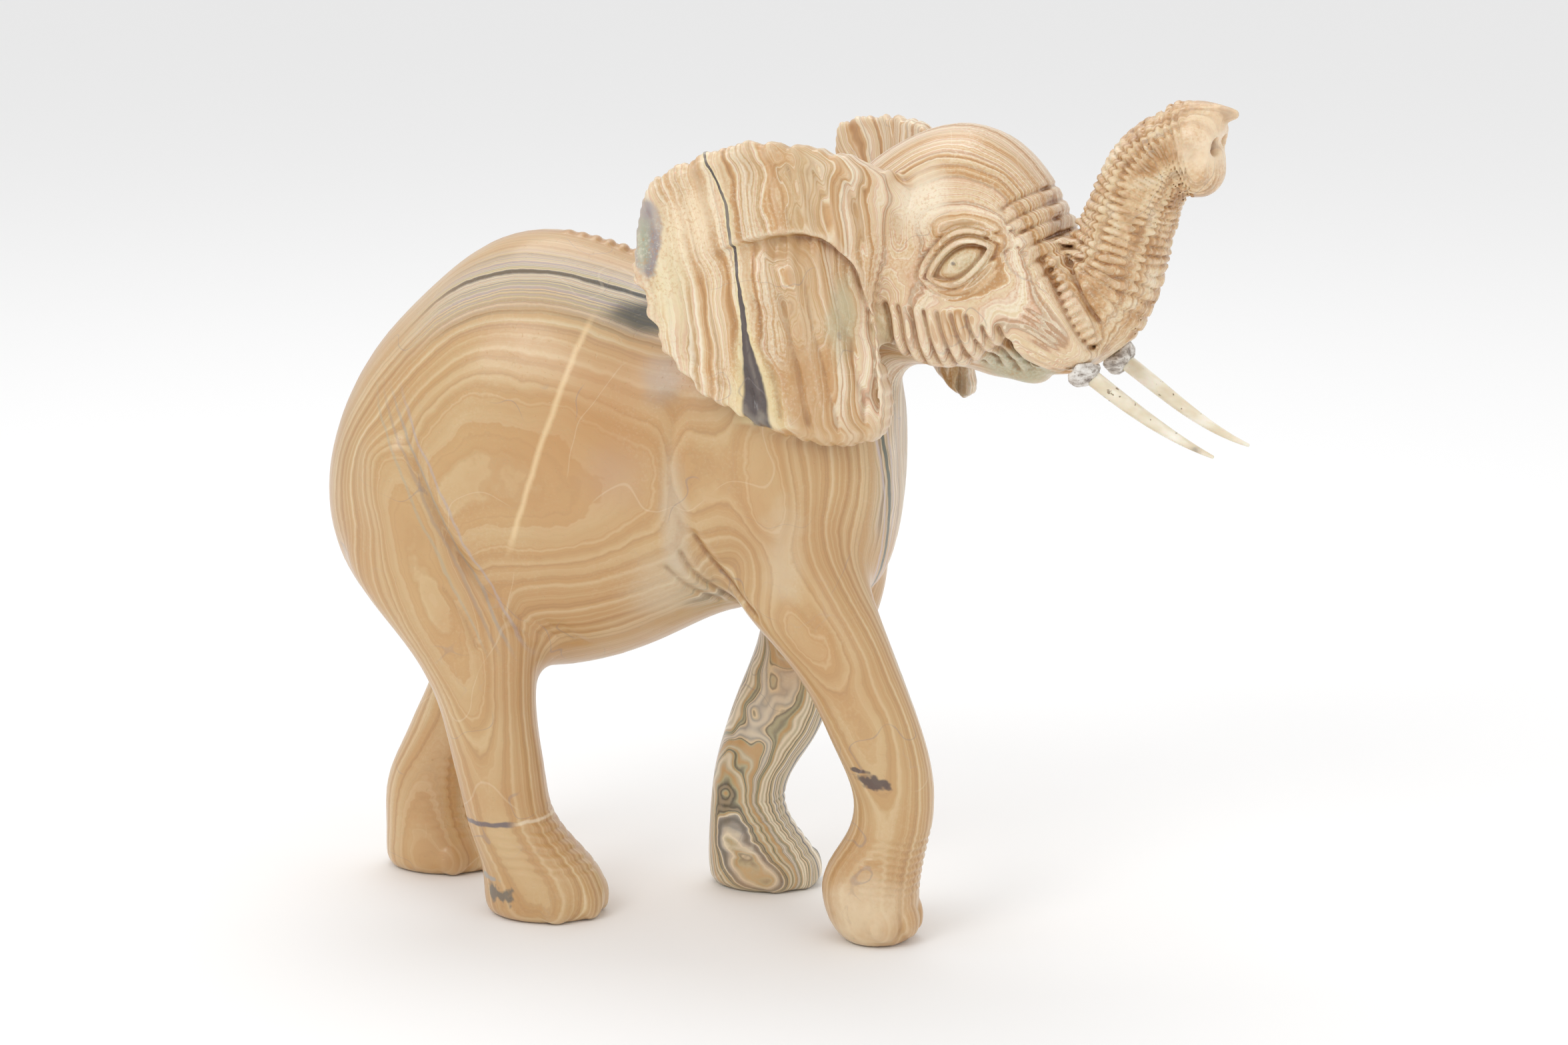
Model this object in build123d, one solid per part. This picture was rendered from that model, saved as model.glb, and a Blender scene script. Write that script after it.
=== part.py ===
from build123d import *
import math
import os

os.makedirs("parts", exist_ok=True)

# ---------------------------------------------------------------- driving sizes (mm)
figure_length = 276.0        # rump to the tip of the tusks, along X
figure_height = 249.5        # soles to the top of the raised trunk
body_width = 88.0            # widest part of the barrel
head_width = 61.0            # across the brow
head_turn = -10.0            # degrees, head turned to the animal's right
ear_thickness = 5.0
trunk_diameter = 27.0        # half way up the raised trunk
tusk_root_diameter = 4.8
tusk_tip_diameter = 1.0
tenon_diameter = 3.6         # hidden end of a tusk, inside the head
tenon_length = 9.0
tenon_clearance = 0.12       # all round the tenon, and at the bottom of its socket
putty_diameter = 10.5        # lump of filler round each tusk root
tail_diameter = 7.0
socket_mouth_reach = 30.0    # how far the tusk's own bore is opened outwards from its shoulder
ear_blank_low = 130.0        # the ears are cut from upright slabs that start at this height
ear_blank_depth = 110.0

# The stations below are written for the sizes above, and follow them when they change.
kx = figure_length / 276.0
kz = figure_height / 249.5
ky = body_width / 88.0
kh = head_width / 61.0
kt = trunk_diameter / 27.0
neck_x = 20.0 * kx           # the head turns about this upright axis


def ring(centre, tilt, across, along, turn=0.0):
    """Ellipse whose normal leans up from +X by tilt; across is in Y, along is in the XZ plane."""
    normal = Vector(math.cos(math.radians(tilt)), 0, math.sin(math.radians(tilt)))
    normal = normal.rotate(Axis.Z, turn)
    down = Vector(0, 1, 0).rotate(Axis.Z, turn).cross(normal)
    return Plane(origin=centre, x_dir=down, z_dir=normal) * Ellipse(along, across)


def head_point(x, y, z):
    """A place given in the head's own axes, moved to the figure's axes."""
    turned = Vector(x * kx, y * kh, z * kz).rotate(Axis.Z, head_turn)
    return Vector(neck_x, 0, 0) + turned


def head_ring(x, z, tilt, across, along, y=0.0):
    return ring(head_point(x, y, z), tilt, across, along, head_turn)


def lump(centre, rx, ry, rz, turn=0.0, tilt=0.0):
    ball = scale(Sphere(1.0), by=(rx, ry, rz))
    return Pos(*centre) * Rot(0, 0, turn) * Rot(0, -tilt, 0) * ball


# ---------------------------------------------------------------- barrel of the body
# x, top z, bottom z, half width
barrel_stations = [
    (-138.8, 137, 117, 9),
    (-137.2, 145, 108, 18),
    (-132.2, 158, 97, 27),
    (-124.0, 171.5, 87, 34),
    (-110.0, 186.5, 78, 40),
    (-92.0, 200.8, 74, 43.5),
    (-75.0, 206, 72.5, 44),
    (-55.0, 203, 75.5, 44),
    (-35.0, 197, 83.5, 42.5),
    (-15.0, 196, 93, 41),
    (5.0, 196, 95.5, 39),
    (20.0, 191, 97, 34),
    (29.6, 180, 104, 26),
    (35.4, 164, 126, 12),
]
barrel_rings = []
for x, top, bottom, half in barrel_stations:
    centre = Vector(x * kx, 0, (top + bottom) / 2 * kz)
    barrel_rings.append(ring(centre, 0, half * ky, (top - bottom) / 2 * kz))
barrel = loft(barrel_rings)

# ---------------------------------------------------------------- neck and head
# x, z, lean of the ring, half width, half depth
neck_stations = [
    (-24, 152, 22, 33, 38),
    (-4, 171, 36, 28, 35),
    (15, 189, 40, 25, 30),
    (30, 201, 28, 26, 29),
]
neck = loft([ring(Vector(x * kx, 0, z * kz), lean, w * kh, d * kz) for x, z, lean, w, d in neck_stations])

# x from the neck axis, top z, bottom z, half width
head_stations = [
    (2, 224, 177, 20),
    (12, 233.4, 172.5, 26),
    (24, 239.8, 170.8, 29.5),
    (36, 242.2, 170.8, 30.5),
    (48, 239.2, 170.8, 29.5),
    (57, 231.8, 170.4, 27),
    (64, 221, 170.4, 24),
    (71, 208, 171.0, 21),
    (78, 200, 174.0, 17),
    (84, 192, 178.5, 11),
]
head_rings = []
for x, top, bottom, half in head_stations:
    head_rings.append(head_ring(x, (top + bottom) / 2, 0, half * kh, (top - bottom) / 2 * kz))
head = loft(head_rings)

jaw = lump(head_point(51, 0, 173.8), 15.5 * kx, 10.5 * kh, 5.6 * kz, head_turn, -3)
sheaths = []
for side in (-1, 1):
    sheaths.append(lump(head_point(69, side * 12, 183), 14.5 * kx, 9 * kh, 11.5 * kz, head_turn, -30))

# ---------------------------------------------------------------- raised trunk
# x, z, lean of the ring, half width, half depth
trunk_stations = [
    (64, 190, 4, 17, 17),
    (74.5, 193, 24, 16, 16.5),
    (82.4, 201, 60, 14.2, 14.4),
    (85.6, 212, 76, 13.4, 13.4),
    (88.5, 222, 73, 13, 13.1),
    (92.5, 231, 62, 12.2, 12.6),
    (98, 237, 38, 11.2, 11.4),
    (106, 239.4, 6, 9.6, 9.8),
    (113.2, 238.2, -17, 9.4, 9.6),
]
trunk_rings = []
for x, z, lean, wide, deep in trunk_stations:
    trunk_rings.append(head_ring(x, z, lean, wide * kt, deep * kt))
trunk = loft(trunk_rings)
finger = lump(head_point(114.0, 0, 246.6), 4.6 * kt, 3.4 * kt, 2.2 * kt, head_turn, 12)
lip = lump(head_point(109.2, 0, 229.6), 3.2 * kt, 5.4 * kt, 3.6 * kt, head_turn, -20)

# ---------------------------------------------------------------- legs, each down to a flat sole
# z, x, y, half length, half width
hind_right = [
    (130, -106, -16, 26, 20),
    (110, -102, -22, 28, 19),
    (92, -93.5, -25.5, 24.5, 17.2),
    (77, -88, -26.5, 17.8, 15.5),
    (60, -84.6, -26.5, 14.2, 14),
    (43, -81.8, -25.5, 13.5, 13.5),
    (29, -78.8, -24, 13.8, 14.2),
    (20, -73.8, -23, 16.2, 15.5),
    (11, -69.8, -22, 18.5, 16.5),
    (3, -69.4, -21.5, 18.4, 16),
    (0, -69.4, -21.5, 17, 15),
]
hind_left = [
    (130, -102, 16, 27, 20),
    (110, -99, 21, 26, 19),
    (92, -96, 24, 22, 17),
    (77, -98.5, 24, 17.5, 15.5),
    (62, -103.4, 23, 14.7, 14),
    (49, -109, 22, 14.7, 13.5),
    (36, -114.6, 21, 15, 13.5),
    (23, -117.6, 20.5, 15.6, 14.2),
    (12, -116.2, 20.5, 17, 15.2),
    (3, -115, 20.5, 18, 15.6),
    (0, -115, 20.5, 16.8, 14.6),
]
front_right = [
    (138, 3, -9, 24, 16),
    (119, 5.5, -17.5, 23, 17.5),
    (101, 12.2, -23, 20.6, 16.5),
    (86, 22.6, -26, 16.8, 14.5),
    (72.5, 30, -26.5, 14.8, 13.2),
    (58, 35.8, -26.5, 13.8, 12.6),
    (45, 39.3, -26, 12.2, 12),
    (34, 38.3, -26, 12.3, 12),
    (25, 34.6, -26, 14, 13.2),
    (16, 32.4, -25.5, 14.8, 14.2),
    (7, 33.0, -25.5, 13.4, 13.6),
    (0, 35.5, -25.5, 9.6, 10.5),
]
front_left = [
    (136, 8, 14, 22, 17),
    (118, 8.5, 17, 21, 17),
    (98, 8, 19.5, 19, 16),
    (81, 4.4, 21.5, 16.8, 14.4),
    (67, -2, 22.5, 15.4, 13.4),
    (50, -9, 23.5, 14.7, 12.8),
    (38, -14.4, 24, 12.6, 12.4),
    (26, -17, 24, 11.6, 12),
    (16, -14.8, 24, 14.4, 13.8),
    (6, -11.6, 24, 17.6, 15.4),
    (0, -11.4, 24, 16.6, 14.8),
]


def leg(stations):
    rings = []
    for z, x, y, half_length, half_width in stations:
        place = Pos(x * kx, y * ky, z * kz)
        rings.append(place * Ellipse(half_length * kx, half_width * ky))
    return loft(rings)


legs = [leg(stations) for stations in (hind_left, hind_right, front_right, front_left)]

# ---------------------------------------------------------------- tail, laid against the rump
# x, y, z, radius
tail_stations = [
    (-128, 8, 156, 0.50),
    (-133.8, 9, 143, 0.48),
    (-134.6, 10, 128, 0.45),
    (-131.0, 11, 113, 0.42),
    (-125.6, 12.5, 100, 0.46),
    (-121.4, 13.5, 90, 0.36),
]
tail_rings = []
for x, y, z, share in tail_stations:
    place = Pos(x * kx, y * ky, z * kz)
    tail_rings.append(place * Circle(tail_diameter * share))
tail = loft(tail_rings)

# ---------------------------------------------------------------- ears
# Outline of an ear, seen from the side, in the head's own axes: x, z.
right_ear_outline = [
    (20, 231), (8, 237), (-2, 239), (-12, 239.5), (-21, 236.5), (-29, 233.5), (-36, 229.5),
    (-39.5, 222.5), (-42, 213.5), (-42, 204.5), (-39, 193), (-34.5, 180.5), (-25.5, 169),
    (-12, 160.5), (4, 153.4), (13, 152.2), (20, 154.4), (22, 166), (20.5, 176),
]
left_ear_outline = [
    (20, 230), (9, 235.5), (-3, 236.5), (-14, 235.5), (-24, 234), (-30, 232),
    (-31.5, 226), (-30.5, 216), (-28, 203), (-23, 190), (-14, 178), (2, 170),
    (16, 163.4), (25, 158.8), (30, 161), (28.5, 168), (22, 178),
]
# Middle line of an ear, seen from above: x, distance out from the head's middle.
right_ear_curve = [(30, 24), (19, 28), (6, 39), (-12, 49.5), (-30, 56), (-50, 61)]
left_ear_curve = [(32, 23), (20, 29), (6, 42), (-8, 54), (-20, 62), (-38, 71)]


def ear(outline, curve, side):
    half = ear_thickness / 2
    outer = [(x * kx, side * (out * kh + half)) for x, out in curve]
    inner = [(x * kx, side * (out * kh - half)) for x, out in reversed(curve)]
    edges = Spline(*outer) + Line(outer[-1], inner[0]) + Spline(*inner) + Line(inner[-1], outer[0])
    slab = Pos(0, 0, ear_blank_low * kz) * extrude(make_face(edges), amount=ear_blank_low * kz)
    corners = [(x * kx, z * kz) for x, z in outline]
    rim = Spline(*corners) + Line(corners[-1], corners[0])
    blank = extrude(Plane.XZ * make_face(rim), amount=ear_blank_depth * kh, both=True)
    shape = slab & blank
    return Pos(neck_x, 0, 0) * Rot(0, 0, head_turn) * shape


ears = [ear(right_ear_outline, right_ear_curve, -1), ear(left_ear_outline, left_ear_curve, 1)]

# ---------------------------------------------------------------- one block of stone
block = barrel.solids()[0]
for shape in [*reversed(legs), neck, head, jaw, *sheaths, trunk, finger, lip, tail, *ears]:
    block = block.fuse(shape.solids()[0]).solids()[0]

# ---------------------------------------------------------------- tusks, sockets and putty
# Middle line from the gum to the tip, in the head's own axes: x, out from the middle, z.
right_tusk_line = [(77, 12.8, 174.6), (91, 12.8, 165.2), (105, 12.5, 157.0), (116.4, 12, 151.8)]
left_tusk_line = [(79, 12.8, 174.8), (90.8, 12.8, 166.8), (105, 12.5, 157.6), (119.6, 12, 151.2)]


def tusk(points):
    path = Spline(*points)
    rings = []
    steps = 10
    for i in range(steps + 1):
        t = i / steps
        share = 1 - t ** 2.2
        radius = (tusk_tip_diameter + (tusk_root_diameter - tusk_tip_diameter) * share) / 2
        at = path.position_at(t)
        rings.append(Plane(origin=at, z_dir=path.tangent_at(t)) * Circle(radius))
    point = loft(rings)
    tip = Pos(*path.position_at(1)) * Sphere(tusk_tip_diameter / 2)
    root = Plane(origin=path.position_at(0), z_dir=-path.tangent_at(0))
    tenon = extrude(root * Circle(tenon_diameter / 2), amount=tenon_length)
    socket_size = tenon_diameter / 2 + tenon_clearance
    socket = extrude(root * Circle(socket_size), amount=tenon_length + tenon_clearance)
    mouth = extrude(root * Circle(tusk_root_diameter / 2 + tenon_clearance), amount=-socket_mouth_reach)
    ball = scale(Sphere(putty_diameter / 2), by=(1.0, 1.05, 0.9))
    lump_at = Plane(origin=path.position_at(0), z_dir=path.tangent_at(0))
    putty = lump_at * ball
    return point.fuse(tip, tenon), socket, mouth, putty


pieces = {}
sockets = []
lumps = {}
for name, side, line in (("right", -1, right_tusk_line), ("left", 1, left_tusk_line)):
    points = [head_point(x, side * out, z) for x, out, z in line]
    body, socket, mouth, putty = tusk(points)
    pieces["tusk_" + name] = body
    sockets += [socket, mouth]
    lumps["tusk_filler_" + name] = putty

carving = block
for socket in sockets:
    carving = carving.cut(socket)
for name, putty in lumps.items():
    which = pieces[name.replace("_filler", "")]
    pieces[name] = putty.cut(block).cut(which)
pieces["carved_body"] = carving

# ---------------------------------------------------------------- rest the figure on z = 0
box = Compound([solid for piece in pieces.values() for solid in piece.solids()]).bounding_box()
shift = Pos(-(box.min.X + box.max.X) / 2, -(box.min.Y + box.max.Y) / 2, -box.min.Z)
for name, shape in pieces.items():
    solids = [shift * solid for solid in shape.solids()]
    print(name, len(solids), "solid", round(sum(solid.volume for solid in solids), 1))
    export_step(solids[0] if len(solids) == 1 else Compound(solids), "parts/" + name + ".step")
print("box", box.min, box.max)
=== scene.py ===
import math

import bmesh
import bpy
import numpy as np
import openvdb as vdb
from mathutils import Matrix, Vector


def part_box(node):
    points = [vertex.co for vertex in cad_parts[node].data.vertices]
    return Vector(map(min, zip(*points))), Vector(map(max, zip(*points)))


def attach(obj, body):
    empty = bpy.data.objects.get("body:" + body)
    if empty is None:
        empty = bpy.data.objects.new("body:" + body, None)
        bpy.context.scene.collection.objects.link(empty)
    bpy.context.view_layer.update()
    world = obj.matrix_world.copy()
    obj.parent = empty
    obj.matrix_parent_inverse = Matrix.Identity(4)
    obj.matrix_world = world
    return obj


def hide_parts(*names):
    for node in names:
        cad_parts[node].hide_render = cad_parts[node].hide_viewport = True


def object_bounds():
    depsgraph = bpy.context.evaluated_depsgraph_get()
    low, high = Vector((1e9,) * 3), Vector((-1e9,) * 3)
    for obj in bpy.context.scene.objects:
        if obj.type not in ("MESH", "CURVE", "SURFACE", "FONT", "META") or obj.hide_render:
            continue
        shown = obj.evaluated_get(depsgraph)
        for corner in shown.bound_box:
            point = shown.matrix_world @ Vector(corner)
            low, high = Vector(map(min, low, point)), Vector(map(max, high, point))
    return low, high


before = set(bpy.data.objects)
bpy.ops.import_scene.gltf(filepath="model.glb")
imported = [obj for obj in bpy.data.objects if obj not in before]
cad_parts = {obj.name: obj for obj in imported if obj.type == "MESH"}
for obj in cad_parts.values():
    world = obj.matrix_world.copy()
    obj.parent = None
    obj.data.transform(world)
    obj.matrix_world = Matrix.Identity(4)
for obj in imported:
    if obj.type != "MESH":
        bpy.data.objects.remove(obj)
cad_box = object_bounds()

# All carving is done in millimetres in the animal's own axes: x forward, y to its left,
# z up, y = 0 on the body's middle plane. CARVING_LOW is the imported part's low corner in
# those axes, so BODY_OFFSET takes a carved point into the frame.
MM = 0.001
CARVING_LOW = (-138.8, -53.46, 0.0)
BODY_OFFSET = np.array([cad_box[0][i] / MM - CARVING_LOW[i] for i in range(3)])
HEAD_PIVOT = 20.0
HEAD_TURN = math.radians(-10)
VOXEL = 0.5
ROUGH_VOXEL = 1.2
BLOCK_LOW = np.array([-145.0, -61.0, -6.0])
BLOCK_HIGH = np.array([142.0, 81.0, 256.0])
BAND = 9.0  # voxels on each side of a surface that hold true distances
NO_QUADS = np.zeros((0, 4), np.uint32)
RNG = np.random.default_rng(7)


# ------------------------------------------------------------------ clay: a grid of distances
class Clay:
    """Signed distances in mm on a regular grid, negative inside the stone."""

    def __init__(self, voxel, field=None):
        self.voxel = voxel
        self.shape = tuple(int(n) for n in np.ceil((BLOCK_HIGH - BLOCK_LOW) / voxel) + 1)
        self.field = field

    def window(self, low, high, turned=False):
        """The part of the grid inside a box, and its x, y, z; turned gives them in the head's axes."""
        if turned:
            corners = [head_to_body(x, y) for x in (low[0], high[0]) for y in (low[1], high[1])]
            box_low = (min(c[0] for c in corners), min(c[1] for c in corners), low[2])
            box_high = (max(c[0] for c in corners), max(c[1] for c in corners), high[2])
        else:
            box_low, box_high = low, high
        first = np.maximum(np.floor((np.array(box_low) - BLOCK_LOW) / self.voxel), 0).astype(int)
        last = np.ceil((np.array(box_high) - BLOCK_LOW) / self.voxel).astype(int) + 1
        last = np.minimum(last, self.shape)
        place = tuple(slice(a, b) for a, b in zip(first, last))
        axes = [BLOCK_LOW[i] + self.voxel * np.arange(first[i], last[i]) for i in range(3)]
        x = axes[0].astype(np.float32)[:, None, None]
        y = axes[1].astype(np.float32)[None, :, None]
        z = axes[2].astype(np.float32)[None, None, :]
        if turned:
            x, y = body_to_head(x, y)
        return place, x, y, z

    def sample(self, points):
        """Field at points (n, 3) in mm, by linear interpolation."""
        at = (points - BLOCK_LOW) / self.voxel
        at = np.clip(at, 0, np.array(self.shape) - 1.001)
        base = at.astype(int)
        part = (at - base).astype(np.float32)
        total = np.zeros(len(points), np.float32)
        for corner in np.ndindex(2, 2, 2):
            weight = np.ones(len(points), np.float32)
            for axis in range(3):
                weight *= part[:, axis] if corner[axis] else 1 - part[:, axis]
            total += weight * self.field[tuple((base + corner).T)]
        return total


def head_to_body(x, y):
    c, s = math.cos(HEAD_TURN), math.sin(HEAD_TURN)
    return HEAD_PIVOT + c * x - s * y, s * x + c * y


def body_to_head(x, y):
    c, s = math.cos(HEAD_TURN), math.sin(HEAD_TURN)
    return c * (x - HEAD_PIVOT) + s * y, -s * (x - HEAD_PIVOT) + c * y


def smooth_min(a, b, blend):
    h = np.maximum(blend - np.abs(a - b), 0) / blend
    return np.minimum(a, b) - h * h * blend * 0.25


def smooth_step(edge0, edge1, value):
    t = np.clip((value - edge0) / (edge1 - edge0), 0, 1)
    return t * t * (3 - 2 * t)


def bell(distance, width):
    """1 on the line, fading to 0 at about twice the width."""
    return np.exp(-((distance / width) ** 2))


def polygons_of(field, level, adaptivity=0.0):
    grid = vdb.FloatGrid(float(field.max()))
    grid.copyFromArray(field)
    return grid.convertToPolygons(isovalue=level, adaptivity=adaptivity)


def distances(points, triangles, quads, shape, band):
    """Distances, in voxels, to a closed surface given in grid indices."""
    grid = vdb.FloatGrid.createLevelSetFromPolygons(
        points, triangles=triangles, quads=quads, transform=vdb.createLinearTransform(1.0), halfWidth=band
    )
    out = np.full(shape, band, np.float32)
    grid.copyToArray(out)
    return out


def offset(field, by, voxel):
    """Distances to the surface that lies by mm outside the field's own."""
    points, triangles, quads = polygons_of(field, by)
    return distances(points, triangles, quads, field.shape, BAND) * voxel


def cad_surface(node):
    """A CAD node's corners, in mm in the frame, and its triangles."""
    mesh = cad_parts[node].data
    mesh.calc_loop_triangles()
    points = np.zeros(len(mesh.vertices) * 3, np.float32)
    mesh.vertices.foreach_get("co", points)
    triangles = np.zeros(len(mesh.loop_triangles) * 3, np.int32)
    mesh.loop_triangles.foreach_get("vertices", triangles)
    return points.reshape(-1, 3) / MM, triangles.reshape(-1, 3).astype(np.uint32)


def blur(field, reach):
    """Two passes of a box filter, reach voxels each way, along every axis."""
    for axis in range(3):
        for _ in range(2):
            edge = [(0, 0)] * 3
            edge[axis] = (reach + 1, reach)
            total = np.cumsum(np.pad(field, edge, mode="edge"), axis=axis, dtype=np.float64)
            count = total.shape[axis]
            high = np.take(total, range(2 * reach + 1, count), axis=axis)
            low = np.take(total, range(0, count - 2 * reach - 1), axis=axis)
            field = ((high - low) / (2 * reach + 1)).astype(np.float32)
    return field


def refine(field, rough_voxel, clay):
    """Linear interpolation of a rough grid onto a finer one, axis by axis."""
    for axis in range(3):
        at = np.arange(clay.shape[axis]) * clay.voxel / rough_voxel
        at = np.minimum(at, field.shape[axis] - 1.001)
        base = at.astype(int)
        part = (at - base).astype(np.float32)
        part = part.reshape([-1 if i == axis else 1 for i in range(3)])
        low = np.take(field, base, axis=axis)
        high = np.take(field, base + 1, axis=axis)
        field = low + (high - low) * part
    return field


def smooth_path(points, count):
    """Catmull-Rom curve through the points, evenly numbered, as an array."""
    p = np.array(points, float)
    p = np.vstack([2 * p[0] - p[1], p, 2 * p[-1] - p[-2]])
    out = []
    for k in range(count):
        u = k / (count - 1) * (len(p) - 3)
        i = min(int(u), len(p) - 4)
        t = u - i
        a, b, c, d = p[i:i + 4]
        out.append(0.5 * (2 * b + (c - a) * t + (2 * a - 5 * b + 4 * c - d) * t ** 2
                          + (3 * b - a - 3 * c + d) * t ** 3))
    return np.array(out)


# ------------------------------------------------------------------ strokes of the sculptor
def ellipsoid(x, y, z, centre, radii, turn=0.0, tilt=0.0):
    """Distance to an ellipsoid turned about z and tilted nose-up in its own plane."""
    dx, dy, dz = x - centre[0], y - centre[1], z - centre[2]
    c, s = math.cos(math.radians(turn)), math.sin(math.radians(turn))
    dx, dy = c * dx + s * dy, -s * dx + c * dy
    c, s = math.cos(math.radians(tilt)), math.sin(math.radians(tilt))
    dx, dz = c * dx + s * dz, -s * dx + c * dz
    k0 = np.sqrt((dx / radii[0]) ** 2 + (dy / radii[1]) ** 2 + (dz / radii[2]) ** 2)
    k1 = np.sqrt((dx / radii[0] ** 2) ** 2 + (dy / radii[1] ** 2) ** 2 + (dz / radii[2] ** 2) ** 2)
    return k0 * (k0 - 1) / np.maximum(k1, 1e-6)


def press(clay, place, shape, blend, cut):
    """Joins a shape to the clay inside a window, or takes it away, with a soft seam."""
    old = clay.field[place]
    clay.field[place] = -smooth_min(-old, shape, blend) if cut else smooth_min(old, shape, blend)


def side_range(side, near, far):
    """The y range from near to far on one side of the animal, low end first."""
    return sorted((side * near, side * far))


def lump(clay, centre, radii, blend=3.0, turn=0.0, tilt=0.0, turned=False, cut=False):
    """Adds a rounded lump of clay, or scoops one out."""
    reach = max(radii) + blend + 1
    low = [c - reach for c in centre]
    high = [c + reach for c in centre]
    place, x, y, z = clay.window(low, high, turned)
    press(clay, place, ellipsoid(x, y, z, centre, radii, turn, tilt), blend, cut)


def rod(clay, points, radii, blend=3.0, turned=False, cut=False):
    """A tapering roll of clay along a smooth path, pressed on or scooped out."""
    path = smooth_path(points, 6 * len(points))
    size = np.interp(np.linspace(0, 1, len(path)), np.linspace(0, 1, len(radii)), radii)
    reach = max(radii) + blend + 1
    place, x, y, z = clay.window(path.min(0) - reach, path.max(0) + reach, turned)
    shape = None
    for a, b, ra, rb in zip(path[:-1], path[1:], size[:-1], size[1:]):
        ab = b - a
        t = ((x - a[0]) * ab[0] + (y - a[1]) * ab[1] + (z - a[2]) * ab[2]) / max(ab @ ab, 1e-9)
        t = np.clip(t, 0, 1)
        away = np.sqrt((x - a[0] - t * ab[0]) ** 2 + (y - a[1] - t * ab[1]) ** 2
                       + (z - a[2] - t * ab[2]) ** 2) - (ra + (rb - ra) * t)
        shape = away if shape is None else np.minimum(shape, away)
    press(clay, place, shape, blend, cut)


def line_distance(x, z, path):
    """Distance from (x, z) to a polyline, how far along it lies (0 to 1), and the side it is on."""
    nearest, along, side = None, None, None
    count = len(path) - 1
    for i in range(count):
        a, b = path[i], path[i + 1]
        ab = b - a
        t = np.clip(((x - a[0]) * ab[0] + (z - a[1]) * ab[1]) / max(ab @ ab, 1e-9), 0, 1)
        dx, dz = x - a[0] - t * ab[0], z - a[1] - t * ab[1]
        away = np.sqrt(dx * dx + dz * dz)
        turn = np.sign(ab[0] * dz - ab[1] * dx)
        if nearest is None:
            nearest, along, side = away, (i + t) / count, turn
        else:
            closer = away < nearest
            nearest = np.where(closer, away, nearest)
            along = np.where(closer, (i + t) / count, along)
            side = np.where(closer, turn, side)
    return nearest, along, side


def crease(clay, side, points, width, depth, span=(12, 60), turned=True, raised=False, ends=0.12):
    """A fold drawn on one side of the animal: points are (x, z), span is how far out it reaches in y.
    Depth is in mm; it fades out towards both ends."""
    path = smooth_path(points, 5 * len(points))
    reach = 3.0 * width
    low_y, high_y = side_range(side, *span)
    low = (path[:, 0].min() - reach, low_y, path[:, 1].min() - reach)
    high = (path[:, 0].max() + reach, high_y, path[:, 1].max() + reach)
    place, x, y, z = clay.window(low, high, turned)
    away, along, _ = line_distance(x, z, path)
    fade = smooth_step(0, ends, along) * smooth_step(0, ends, 1 - along)
    inside = smooth_step(span[0] - 3, span[0] + 2, side * y) * (side * y < span[1] + 2)
    amount = depth * bell(away, width) * fade * inside
    clay.field[place] += (-amount if raised else amount).astype(np.float32)


# ------------------------------------------------------------------ rough form from the CAD block
def rough_form():
    """The CAD block without its flat ears, with soft edges and filled-in creases."""
    clay = Clay(ROUGH_VOXEL)
    points, triangles = cad_surface("carved_body")
    points = points - BODY_OFFSET
    index_points = ((points - BLOCK_LOW) / clay.voxel).astype(np.float32)
    field = distances(index_points, triangles, NO_QUADS, clay.shape, BAND) * clay.voxel
    plate = 3.2  # just over half an ear's thickness, so that opening the form removes the ears
    opened = offset(field, -plate, clay.voxel) - plate
    fillet = 7.0
    closed = offset(opened, fillet, clay.voxel) + fillet
    axes = [BLOCK_LOW[i] + clay.voxel * np.arange(clay.shape[i]) for i in range(3)]
    x = axes[0][:, None, None]
    z = axes[2][None, None, :]
    face = smooth_step(60, 75, x) * smooth_step(160, 175, z)
    feet = smooth_step(14, 4, z)
    keep = (1 - 0.75 * face) * (1 - feet)
    field = (opened + (np.minimum(closed, opened) - opened) * keep).astype(np.float32)
    soft = blur(field, 1)
    field = soft * (1 - feet) + field * feet
    return field.astype(np.float32)


# ------------------------------------------------------------------ ears
RIGHT_EAR_RIM = [
    (24, 228), (18, 232.5), (8, 237), (-2, 239), (-12, 239.8), (-21, 237.0), (-29, 233.5), (-36, 229.5),
    (-40, 222.5), (-42, 213.5), (-42, 204.5), (-39, 193), (-34, 180.5), (-25.5, 169),
    (-12, 160.5), (4, 153.2), (13, 151.6), (21, 153.4), (23.5, 160), (22.6, 170), (21, 182),
    (20, 192), (22, 203), (26, 215),
]
LEFT_EAR_RIM = [
    (24, 226), (18, 231.5), (9, 235.5), (-3, 236.5), (-14, 235.5), (-24, 234), (-30, 231.5),
    (-31.5, 225), (-30.5, 215), (-28, 203), (-23, 190), (-14, 178), (2, 169),
    (16, 163.4), (25, 157.6), (30.5, 158.4), (29.5, 166), (24, 180), (21, 192), (23, 204), (26, 215),
]
EAR_FLAP = [(-22, 205), (-17, 209.5), (-6, 212.8), (4, 213.4), (11, 210), (16, 203), (19, 193), (20.5, 182),
            (21.5, 168)]
RIGHT_EAR_CURVE = [(34, 20), (26, 25), (19, 29), (6, 39), (-12, 49.5), (-30, 56), (-50, 61)]
LEFT_EAR_CURVE = [(36, 18), (28, 24), (20, 29), (6, 42), (-8, 54), (-20, 62), (-38, 71)]


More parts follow.
